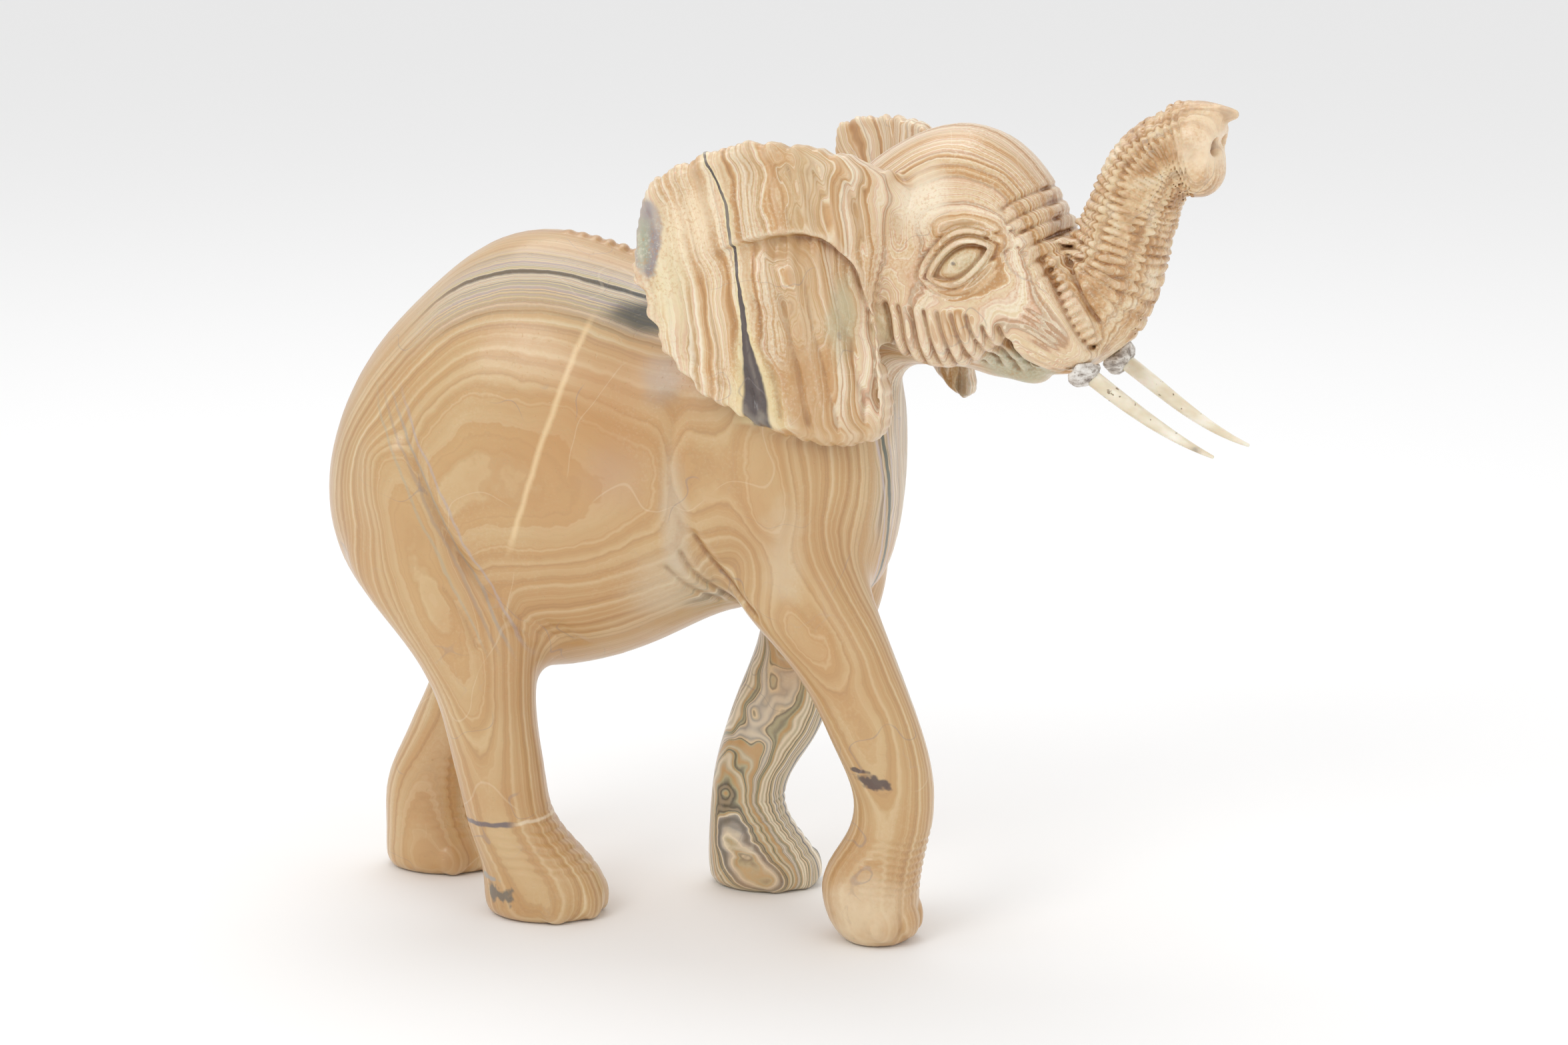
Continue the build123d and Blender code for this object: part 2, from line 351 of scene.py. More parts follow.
def inside_polygon(x, z, path):
    """Signed distance to a closed outline in the xz plane, negative inside."""
    loop = np.vstack([path, path[:1]])
    away, _, _ = line_distance(x, z, loop)
    crossings = np.zeros(np.broadcast(x, z).shape, int)
    for a, b in zip(loop[:-1], loop[1:]):
        spans = (a[1] > z) != (b[1] > z)
        meets = a[0] + (z - a[1]) * (b[0] - a[0]) / (b[1] - a[1] if b[1] != a[1] else 1e-9)
        crossings += (spans & (x < meets)).astype(int)
    return np.where(crossings % 2 == 1, -away, away)


def closed_curve(points, count):
    looped = smooth_path(list(points[-2:]) + list(points) + list(points[:2]), count)
    step = count / (len(points) + 3)
    return looped[int(round(step)):int(round(step * (len(points) + 1)))]


def make_ear(clay, side, rim, curve, seed):
    """A thin curved plate with a rolled front flap, ripples and a chipped rim."""
    outline = closed_curve(rim, 8 * len(rim))
    line = smooth_path(sorted(curve), 60)
    low_y, high_y = side_range(side, 14, 80)
    low = (outline[:, 0].min() - 6, low_y, outline[:, 1].min() - 6)
    high = (outline[:, 0].max() + 8, high_y, outline[:, 1].max() + 6)
    place, x, y, z = clay.window(low, high, True)
    x = np.broadcast_to(x, np.broadcast(x, y).shape)
    out = side * y
    flat_x = x[:, :, :1]
    middle = np.interp(flat_x, line[:, 0], line[:, 1])
    slope = np.gradient(line[:, 1], line[:, 0])
    lean = np.sqrt(1 + np.interp(flat_x, line[:, 0], slope) ** 2)
    # The rim is drawn on a side view, so it is worked out once on an (x, z) table.
    table_x = np.arange(low[0] - 12, high[0] + 12, clay.voxel)[:, None]
    table_z = z.reshape(1, -1)
    rim_away = inside_polygon(table_x, table_z, outline)
    streak_step = np.abs(np.sin(0.36 * table_x + 0.5 * np.sin(0.21 * table_x + seed)))
    scallop = 0.9 * (0.6 - streak_step) * smooth_step(214, 222, table_z + 0 * table_x)
    nick = 0.9 * np.sin(table_z * 0.52 + 0.9 * np.sin(table_z * 0.23))
    nick = nick + 0.5 * np.sin(table_z * 1.43 + table_x * 0.4)
    rear = smooth_step(-18, -28, table_x + 0.2 * (table_z - 190))
    jag = nick * rear * smooth_step(216, 208, table_z + 0 * table_x)
    chip = 0.3 * np.sin(table_x * 1.05 - 0.2 * table_z + 1.0) + 0.25 * np.sin(table_x * 2.3 + table_z * 1.7)
    rim_away = rim_away + scallop + 0.7 * jag + chip
    flap = smooth_path(EAR_FLAP if side < 0 else [(a + 1, b) for a, b in EAR_FLAP], 50)
    away, along, turn = line_distance(table_x, table_z, flap)
    fade = smooth_step(0.0, 0.3, along)
    under = away * np.where(turn < 0, 1, -1)
    shelf = smooth_step(-0.9, 0.9, under)
    hollow = -2.7 * np.exp(-((under - 1.0) / 6.0) ** 2) + 1.1 * bell(under - 14.0, 6.0)
    fold = (hollow * shelf + 1.5 * np.exp(-np.abs(under) / 7.0) * (1 - shelf)) * fade
    streak = table_x + 0.18 * (table_z - 200)
    within = smooth_step(0, -6, rim_away)
    flute = 0.42 * np.sin(streak * 0.93 + 0.8) + 0.22 * np.sin(streak * 1.9 + 0.05 * table_z + seed)
    flute += 0.10 * np.sin(streak * 4.1 + 2.0 * np.sin(table_z * 0.11))
    ripple = flute * within + 0.4 * np.sin(0.16 * table_x - 0.3 * table_z) + 1.0 * bell(rim_away + 3.2, 2.6)
    relief = fold + ripple
    column = np.clip(((flat_x - table_x[0, 0]) / clay.voxel), 0, len(table_x) - 1.001)
    base = column.astype(int)
    part = (column - base).astype(np.float32)
    rows = np.arange(table_z.shape[1])[None, None, :]

    def look_up(table):
        table = table.astype(np.float32)
        return table[base, rows] * (1 - part) + table[base + 1, rows] * part

    rim_away = look_up(rim_away)
    relief = look_up(relief)
    thick = 2.0 + 1.5 * smooth_step(-20, 20, flat_x)
    cup = 0.0016 * (z - 200) ** 2 * smooth_step(-10, -40, flat_x)
    offset_out = (out - middle + cup) / lean
    plate = np.maximum(offset_out - thick - relief, -offset_out - thick + 0.4 * relief)
    shape = -smooth_min(-plate, -rim_away, 2.2)
    clay.field[place] = smooth_min(clay.field[place], shape.astype(np.float32), 3.0)


# ------------------------------------------------------------------ trunk
TRUNK_LINE = [(66, 191), (74.5, 193), (81.5, 200), (85.6, 212), (88.5, 222), (92.5, 231), (98, 237),
              (106, 239.4), (114, 238)]


def carve_trunk(clay):
    """Rings of cut blocks round the raised trunk, fading out before its tip."""
    path = smooth_path(TRUNK_LINE, 90)
    step = np.linalg.norm(np.diff(path, axis=0), axis=1)
    length = np.concatenate([[0], np.cumsum(step)])
    ahead = np.gradient(path, axis=0)
    ahead /= np.linalg.norm(ahead, axis=1)[:, None]
    place, x, y, z = clay.window((60, -22, 172), (124, 22, 254), True)
    x = np.broadcast_to(x, np.broadcast(x, y).shape)
    best = np.full(np.broadcast(x, y, z).shape, 1e9, np.float32)
    which = np.zeros(best.shape, np.int32)
    for i, (px, pz) in enumerate(path):
        away = (x - px) ** 2 + (z - pz) ** 2
        closer = away < best
        best[closer] = away[closer]
        which[closer] = i
    px, pz = path[which, 0], path[which, 1]
    tx, tz = ahead[which, 0], ahead[which, 1]
    s = length[which] + (x - px) * tx + (z - pz) * tz
    front = (x - px) * tz - (z - pz) * tx
    angle = np.arctan2(y + 0 * s, front)
    radius = np.sqrt(y * y + front * front)
    total = length[-1]
    pitch = 2.75 - 0.5 * smooth_step(25, total, s)
    wobble = 0.55 * np.sin(angle * 2 + 1) + 0.3 * np.sin(angle * 5 + s * 0.4) + 0.12 * np.sin(angle * 11 + s)
    ring = (s + wobble) / pitch
    number = np.floor(ring)
    within = ring - number
    seam = np.minimum(within, 1 - within) * pitch
    blocks = 15.0
    turn = angle / (2 * math.pi) * blocks + 0.5 * (number % 2) + 0.35 * np.sin(number * 2.4)
    joint = np.abs(turn - np.round(turn)) * 2 * math.pi * np.maximum(radius, 4) / blocks
    uneven = RNG.uniform(-0.28, 0.28, (64, 24)).astype(np.float32)
    tall = uneven[number.astype(int) % 64, np.floor(turn + 0.5).astype(int) % 24]
    amount = 0.95 * bell(seam, 0.5) + 0.5 * bell(joint, 0.42) * (1 - bell(seam, 0.7))
    amount += tall * smooth_step(0.2, 0.8, seam) - 0.3
    start = smooth_step(12, 20, s + 4 * np.cos(angle))
    end = smooth_step(total - 6, total - 12, s)
    near = smooth_step(22, 17, radius)
    clay.field[place] += (amount * start * end * near).astype(np.float32)


def trunk_tip(clay):
    """The pointed finger on top, the rounded lower lobe and the two nostrils between them."""
    lump(clay, (106.5, 0, 240.5), (7.5, 9.6, 9.6), 3, tilt=-12, turned=True)
    rod(clay, [(102, 0, 246), (109, -0.4, 247.4), (114, -0.8, 248.2), (117.2, -1.0, 248.4)],
        [5.6, 4.2, 2.5, 1.5], 2.5, turned=True)
    lump(clay, (108.0, 0, 231.6), (6.4, 8.2, 7.4), 2.5, tilt=-20, turned=True)
    lump(clay, (117.4, 0, 241.6), (4.6, 9.5, 2.7), 1.6, tilt=22, turned=True, cut=True)
    for side in (-1, 1):
        lump(clay, (112.6, side * 4.2, 239.4), (3.4, 2.5, 2.6), 1.2, tilt=-15, turned=True, cut=True)
        lump(clay, (103.6, side * 9.4, 230.6), (1.8, 1.6, 1.7), 1.2, turned=True, cut=True)
        lump(clay, (109.5, side * 9.6, 236.8), (3.6, 1.5, 2.0), 1.6, tilt=25, turned=True, cut=True)


# ------------------------------------------------------------------ head
def carve_head(clay):
    # the notch between brow and trunk, the lower lip, set back under the upper one, and the
    # filling between the lowest brow fold and the trunk's base
    lump(clay, (67.6, 0, 215.0), (2.3, 17, 6.0), 1.5, tilt=-10, turned=True, cut=True)
    lump(clay, (56.0, 0, 171.8), (7.0, 8.8, 3.9), 2, tilt=-24, turned=True)
    lump(clay, (65.5, 0, 206.5), (4.5, 12, 4.0), 4, tilt=-30, turned=True)
    for side in (-1, 1):
        # brow, temple hollow, cheek, upper lip, knob at the ear's root and the pit behind the jaw
        brow = [(30, side * 26.5, 211), (40, side * 27.5, 215), (52, side * 25.5, 215.5),
                (61, side * 21, 211)]
        rod(clay, brow, [2.5, 4.0, 3.5, 2.0], 5, turned=True)
        lump(clay, (33, side * 33.5, 207), (7, 5, 11), 5, tilt=20, turned=True, cut=True)
        lump(clay, (44, side * 25, 204.5), (11, 6.4, 9.5), 4, turned=True)
        lump(clay, (38, side * 22, 186), (17, 8.5, 12), 5, turned=True)
        lump(clay, (66, side * 15, 186), (15, 8, 11), 4, tilt=-32, turned=True)
        lump(clay, (23.8, side * 25.5, 222.3), (4.2, 4.2, 5.4), 2.5, turned=True)
        lump(clay, (26.5, side * 32.5, 214), (3.4, 4.5, 8), 3, tilt=12, turned=True, cut=True)
        lump(clay, (19.6, side * 24, 178.2), (2.4, 5.5, 4.4), 1.4, tilt=28, turned=True, cut=True)
        carve_eye(clay, side)
        carve_cheek(clay, side)
        carve_mouth(clay, side)
        carve_brow(clay, side)
        carve_sheath(clay, side)


EYE = (45.6, 206.0)
EYE_TILT = math.radians(25)
LID_STEPS = (-4.5, -2.2, -0.5, 0.0, 0.5, 1.7, 2.3, 2.7, 3.4, 4.5, 5.1, 5.6, 6.4, 8.6)
UPPER_LID = (0.15, -0.45, -1.55, -1.45, 0.95, 0.85, -0.75, -0.6, 0.45, 0.4, -0.75, -0.5, 0.2, 0.0)
LOWER_LID = (0.15, -0.45, -1.30, -1.20, 0.70, 0.50, -0.65, -0.45, 0.45, -0.25, -0.5, 0.2, -0.25, 0.0)


def carve_eye(clay, side):
    """An almond eye: the ball set back inside two rings of lid, with a drilled pupil."""
    x0, z0 = EYE
    long, tall = 8.8, 3.9
    low_y, high_y = side_range(side, 14, 50)
    place, x, y, z = clay.window((x0 - 22, low_y, z0 - 20), (x0 + 22, high_y, z0 + 20), True)
    c, s = math.cos(EYE_TILT), math.sin(EYE_TILT)
    u = c * (x - x0) + s * (z - z0)
    v = -s * (x - x0) + c * (z - z0)
    v = v - 0.9 * np.sin(u * 0.24)
    radius = (long ** 2 + tall ** 2) / (2 * tall)
    above = np.sqrt(u * u + (v + radius - tall) ** 2) - radius
    below = np.sqrt(u * u + (v - radius + tall) ** 2) - radius
    rim = np.maximum(above, below)
    share = smooth_step(-1.0, 1.0, v)
    height = np.interp(rim, LID_STEPS, UPPER_LID) * share + np.interp(rim, LID_STEPS, LOWER_LID) * (1 - share)
    height *= np.where(rim > 0.5, smooth_step(17.5, 11.0, np.abs(u + 1.0)), 1)
    pupil = np.sqrt((u + 1.0) ** 2 + v * v)
    height = height - 1.1 * bell(pupil, 0.8) + 0.25 * bell(pupil - 1.7, 0.5)
    outer = smooth_step(13, 17, side * y)
    clay.field[place] -= (height * outer).astype(np.float32)
    crease(clay, side, [(52, 213.0), (57, 214.8), (62, 214.4)], 0.7, 0.8)
    crease(clay, side, [(54, 206.2), (58.5, 209.6), (62, 210.4)], 0.7, 0.7)


def carve_cheek(clay, side):
    for i in range(9):
        x = 23.0 + 4.2 * i
        top = 193.8 - 0.3 * i - (2.5 if i > 6 else 0)
        bend = 0.6 + 0.35 * i
        line = [(x - 1.5, top), (x + 0.2, top - 6), (x + bend, top - 12), (x + bend + 1.4, top - 19)]
        crease(clay, side, line, 0.95, 1.3, span=(9, 60))
        crease(clay, side, [(a + 2.1, b) for a, b in line], 1.2, 0.55, span=(9, 60), raised=True)


def carve_mouth(clay, side):
    """The upper lip hangs over the lower one, from the corner of the mouth to the tusk."""
    lip = [(56.4, 183.6), (58.6, 180.4), (61.6, 177.6), (65.5, 175.2), (71, 172.8), (77, 171.8)]
    path = smooth_path(lip, 30)
    low_y, high_y = side_range(side, 6, 40)
    place, x, y, z = clay.window((50, low_y, 162), (84, high_y, 190), True)
    away, along, turn = line_distance(x, z, path)
    fade = smooth_step(0.0, 0.12, along) * smooth_step(1.0, 0.8, along)
    outer = smooth_step(5, 9, side * y)
    lower = np.where(turn < 0, 2.2 * np.exp(-away / 4.0), 0) + 1.0 * bell(away, 0.9)
    clay.field[place] += (lower * fade * outer).astype(np.float32)
    lump(clay, (57.6, side * 20.5, 182.0), (1.7, 3.4, 2.4), 0.9, tilt=-30, turned=True, cut=True)
    for i in range(4):
        x0 = 45 + 4.2 * i
        line = [(x0, 179.5 - i), (x0 + 4, 177.6 - i), (x0 + 6.5, 173.8 - i)]
        crease(clay, side, line, 0.6, 0.6, span=(7, 60))
    for i in range(8):
        drop = 2.5 * i
        line = [(60 - 0.3 * i, 195.0 - drop), (66, 191.6 - drop * 0.95), (73, 186.2 - drop * 0.8),
                (79.5, 180.2 - drop * 0.5)]
        crease(clay, side, line, 0.6, 0.65, span=(7, 60), ends=0.35)


def carve_brow(clay, side):
    """Slabs across the bridge of the nose, cut into short blocks."""
    for i in range(6):
        x = 59.5 + 2.1 * i
        z = 227.0 - 4.0 * i
        crease(clay, side, [(x - 5.5, z - 7.0), (x - 1.0, z - 3.8), (x + 4.0, z - 1.6), (x + 9, z)],
               0.65, 0.9, span=(-3, 60))
        for k in range(3):
            across = -4.2 + 3.4 * k
            crease(clay, side, [(x + across, z - 5.8 + 0.8 * k), (x + across + 2.0, z - 9.4 + 0.8 * k)],
                   0.5, 0.5, span=(-3, 60), ends=0.25)


def carve_sheath(clay, side):
    """The raised band that runs from the nose down to the tusk, with fine ticks across it."""
    crease(clay, side, [(64, 209), (68, 202), (73, 193), (78, 184.5), (82.5, 179)], 0.9, 1.3, span=(8, 60))
    crease(clay, side, [(67, 209.4), (71, 203), (76, 194.5), (81, 186.5), (85, 181)], 1.5, 0.8, span=(8, 60),
           raised=True)
    crease(clay, side, [(70.4, 208), (74, 202), (79, 194), (83.4, 187.5)], 0.8, 1.2, span=(8, 60))
    for i in range(12):
        x = 67.6 + 1.25 * i
        z = 206.5 - 2.2 * i
        crease(clay, side, [(x - 1.8, z - 1.4), (x + 2.4, z + 1.2)], 0.55, 0.8, span=(8, 60), ends=0.2)


# ------------------------------------------------------------------ body and legs
THIGH = {-1: [(-112, -34, 140), (-104, -33, 118), (-94, -32, 98), (-87, -30, 78)],
         1: [(-108, 32, 140), (-104, 31, 118), (-102, 29, 98), (-103, 25, 78)]}
SHOULDER = {-1: [(2, -31, 160), (6, -31, 130), (14, -30, 106), (24, -30, 86)],
            1: [(2, 31, 160), (2, 31, 132), (-2, 29, 110), (-4, 26, 92)]}
TAIL = [(-127, 8, 158), (-132.6, 9, 145), (-134.0, 10, 128), (-130.6, 11, 113), (-125.4, 12.5, 100),
        (-121.4, 13.5, 89)]
# Each fold: its (x, z) points, width, depth, least y, the share of each end that fades, raised or not.
BODY_FOLDS = (
    ([(-110, 164), (-103, 143), (-94, 122), (-84, 104), (-73, 86)], 2.5, 1.5, 20, 0.4, False),
    ([(-98, 140), (-89, 121), (-80, 103)], 3.0, 0.7, 20, 0.3, True),
    ([(-95, 106), (-88, 96), (-83, 84)], 1.2, 0.7, 20, 0.12, False),
    ([(-21, 168), (-25, 150), (-24, 132), (-17, 114), (-6, 99)], 2.8, 1.4, 20, 0.25, False),
    ([(-20, 126), (-14, 114), (-7, 105), (2, 97)], 1.1, 1.3, 15, 0.12, False),
    ([(-24, 120), (-20, 110), (-12, 102), (-5, 97)], 1.1, 1.2, 10, 0.12, False),
    ([(-29, 114), (-22, 105), (-13, 99)], 1.2, 0.9, 10, 0.12, False),
    ([(8, 112), (15, 102), (21, 90)], 2.4, 0.9, 15, 0.3, False),
)


def carve_tail(clay):
    """A tail laid against the rump, ringed by wrinkles, with a combed tuft."""
    path = smooth_path(TAIL, 40)
    for part, radii in ((path[:30], [4.8, 4.0, 3.2]), (path[26:], [3.4, 4.8, 1.8])):
        rod(clay, part, radii, 1.6)
    for x, y, z in path[3:26:3]:
        wrinkle = [(x - 3.4, y - 2.2, z), (x - 4.4, y, z), (x - 3.4, y + 2.2, z)]
        rod(clay, wrinkle, [0.4, 0.5, 0.4], 0.6, cut=True)
    for i in range(-2, 3):
        strand = path[28:] + np.array([-2.6, 1.5 * i, 0])
        rod(clay, strand, [0.5, 0.8, 0.5], 0.8, cut=True)


def carve_body(clay):
    carve_tail(clay)
    for i in range(12):
        x = -66 + 4.2 * i
        lump(clay, (x, 0, 205.2 - 0.006 * (x + 75) ** 2), (1.6, 3.0, 1.4), 1.4, tilt=-20)
    for side in (-1, 1):
        # thigh, shoulder blade, the knot of flesh at the groin, then the folds between them
        rod(clay, THIGH[side], [5, 9, 8, 5], 10)
        rod(clay, SHOULDER[side], [8, 10, 8, 5], 9)
        rod(clay, [(-76, side * 34, 104), (-80, side * 35, 94), (-79, side * 34, 84)], [2.5, 3.4, 2.0], 4)
        for i in range(5):
            x = -70 + 4.0 * i
            crease(clay, side, [(x - 10, 100 - 1.2 * i), (x - 4, 92 - i), (x + 2, 86 - 0.8 * i)],
                   1.1, 0.7 - 0.06 * i, span=(16, 60), turned=False, ends=0.35)
        for points, width, depth, nearest, ends, raised in BODY_FOLDS:
            crease(clay, side, points, width, depth, (nearest, 60), turned=False, raised=raised, ends=ends)


def ankle_folds(clay, centre, low, high, count, depth):
    """Wrinkles round a leg, a little tilted, strongest at the front."""
    reach = 24
    x0, y0 = centre
    place, x, y, z = clay.window((x0 - reach, y0 - 22, low - 3), (x0 + reach, y0 + 22, high + 3))
    angle = np.arctan2(y - y0, x - x0)
    waved = z + 0.06 * (x - x0) + 0.6 * np.sin(angle * 2 + low) + 0.3 * np.sin(angle * 7)
    lines = waved / (high - low) * count
    away = np.abs(lines - np.round(lines)) * (high - low) / count
    fade = smooth_step(low - 2, low + 2, z) * smooth_step(high + 2, high - 2, z)
    clay.field[place] += (depth * bell(away, 0.62) * fade * (0.55 + 0.45 * np.cos(angle))).astype(np.float32)


def toe_nails(clay, centre, radii, height):
    """Low nail plates round the front of a foot."""
    for degrees in (-65, -22, 22, 65):
        a = math.radians(degrees)
        at = (centre[0] + radii[0] * math.cos(a), centre[1] + radii[1] * math.sin(a), height)
        lump(clay, at, (1.8, 4.4, 4.6), 1.4, turn=degrees)


def carve_feet(clay):
    ankle_folds(clay, (-77, -24), 14, 34, 7, 0.5)
    ankle_folds(clay, (-116, 20.5), 12, 40, 9, 0.5)
    ankle_folds(clay, (-15, 24), 10, 30, 7, 0.5)
    ankle_folds(clay, (34, -26), 15, 34, 8, 0.6)
    toe_nails(clay, (-69.4, -21.5), (17.6, 15.2), 5.0)
    toe_nails(clay, (-115, 20.5), (17.2, 14.8), 5.0)
    toe_nails(clay, (-11.8, 24), (16.0, 14.0), 5.0)
    toe_nails(clay, (33.4, -25.5), (13.0, 12.8), 7.0)


def flatten_soles(clay):
    """Everything below z = 0 is cut off, so that the soles are flat."""
    place, _, _, z = clay.window(BLOCK_LOW, (BLOCK_HIGH[0], BLOCK_HIGH[1], 4))
    clay.field[place] = np.maximum(clay.field[place], -z + 0 * clay.field[place])


def sculpt():
    clay = Clay(VOXEL)
    clay.field = refine(rough_form(), ROUGH_VOXEL, clay)
    make_ear(clay, -1, RIGHT_EAR_RIM, RIGHT_EAR_CURVE, 1)
    make_ear(clay, 1, LEFT_EAR_RIM, LEFT_EAR_CURVE, 2)
    carve_body(clay)
    carve_head(clay)
    trunk_tip(clay)
    carve_trunk(clay)
    carve_feet(clay)
    flatten_soles(clay)
    return clay


def mesh_object(name, points, triangles, quads):
    """A smooth-shaded mesh object from points in mm in the animal's axes."""
    mesh = bpy.data.meshes.new(name)
    faces = [*map(tuple, triangles.tolist()), *map(tuple, quads.tolist())]
    mesh.from_pydata(((points + BODY_OFFSET) * MM).tolist(), [], faces)
    mesh.validate()
    mesh.shade_smooth()
    obj = bpy.data.objects.new(name, mesh)
    bpy.context.scene.collection.objects.link(obj)
    return obj


def carving_object(clay):
    """The finished stone; "hollow" is above 0 in grooves and below 0 on ridges, for the material's painted
    shade in the grooves and painted highlight on the ridges.
    """
    points, triangles, quads = polygons_of(clay.field, 0.0, adaptivity=0.02)
    points = points * clay.voxel + BLOCK_LOW
    obj = mesh_object("stone_carving", points, triangles[:, ::-1], quads[:, ::-1])
    soft = Clay(clay.voxel)
    soft.field = blur(np.clip(clay.field, -4, 4), int(round(1.5 / clay.voxel)))
    hollow = obj.data.attributes.new("hollow", "FLOAT", "POINT")
    hollow.data.foreach_set("value", -soft.sample(points))
    return obj


def putty_object(name, node, tusk, clay, seed):
    """A lumpy collar pressed round a tusk: its CAD body roughened, less the stone and the tusk."""
    voxel = 0.25
    low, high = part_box(node)
    low = np.array(low) / MM - 3
    size = tuple(int(n) for n in np.ceil((np.array(high) / MM + 3 - low) / voxel) + 1)

    def local_field(node_name):
        points, triangles = cad_surface(node_name)
        at = ((points - low) / voxel).astype(np.float32)
        return distances(at, triangles, NO_QUADS, size, 12.0) * voxel

    x, y, z = [low[i] + voxel * np.arange(size[i]) for i in range(3)]
    x, y, z = np.meshgrid(x, y, z, indexing="ij")
    random = np.random.default_rng(seed)
    lumps = np.zeros(size, np.float32)
    for size_mm, height in ((6.5, 0.26), (3.4, 0.13), (1.7, 0.05)):
        for _ in range(5):
            way = random.normal(size=3)
            way *= 2 * math.pi / size_mm / np.linalg.norm(way)
            lumps += height / 2 * np.sin(way[0] * x + way[1] * y + way[2] * z + random.uniform(0, 6.3))
    stone = clay.sample(np.stack([x.ravel(), y.ravel(), z.ravel()], 1) - BODY_OFFSET).reshape(size)
    field = blur(local_field(node), 2) - 0.35 + lumps
    field = np.maximum(field, 0.03 - stone)
    field = np.maximum(field, 0.03 - local_field(tusk)).astype(np.float32)
    points, triangles, quads = polygons_of(field, 0.0)
    points = points * voxel + low - BODY_OFFSET
    obj = mesh_object(name, points, triangles[:, ::-1], quads[:, ::-1])
    drop_crumbs(obj)
    return obj


def drop_crumbs(obj):
    """Keeps only the largest connected piece of a mesh."""
    work = bmesh.new()
    work.from_mesh(obj.data)
    left = set(work.verts)
    groups = []
    while left:
        queue = [left.pop()]
        group = list(queue)
        while queue:
            for edge in queue.pop().link_edges:
                for vert in edge.verts:
                    if vert in left:
                        left.remove(vert)
                        queue.append(vert)
                        group.append(vert)
        groups.append(group)
    groups.sort(key=len)
    for group in groups[:-1]:
        bmesh.ops.delete(work, geom=group, context="VERTS")
    work.to_mesh(obj.data)
    work.free()


# ------------------------------------------------------------------ materials
class Field:
    """A number worked out at each point of a surface, by ordinary arithmetic."""

    def __init__(self, paint, socket):
        self.paint, self.socket = paint, socket

    def __add__(self, other):
        return self.paint.math("ADD", self, other)

    def __sub__(self, other):
        return self.paint.math("SUBTRACT", self, other)

    def __rsub__(self, other):
        return self.paint.math("SUBTRACT", other, self)

    def __mul__(self, other):
        return self.paint.math("MULTIPLY", self, other)

    def __truediv__(self, other):
        return self.paint.math("DIVIDE", self, other)

    def __abs__(self):
        return self.paint.math("ABSOLUTE", self)

    __radd__ = __add__
    __rmul__ = __mul__


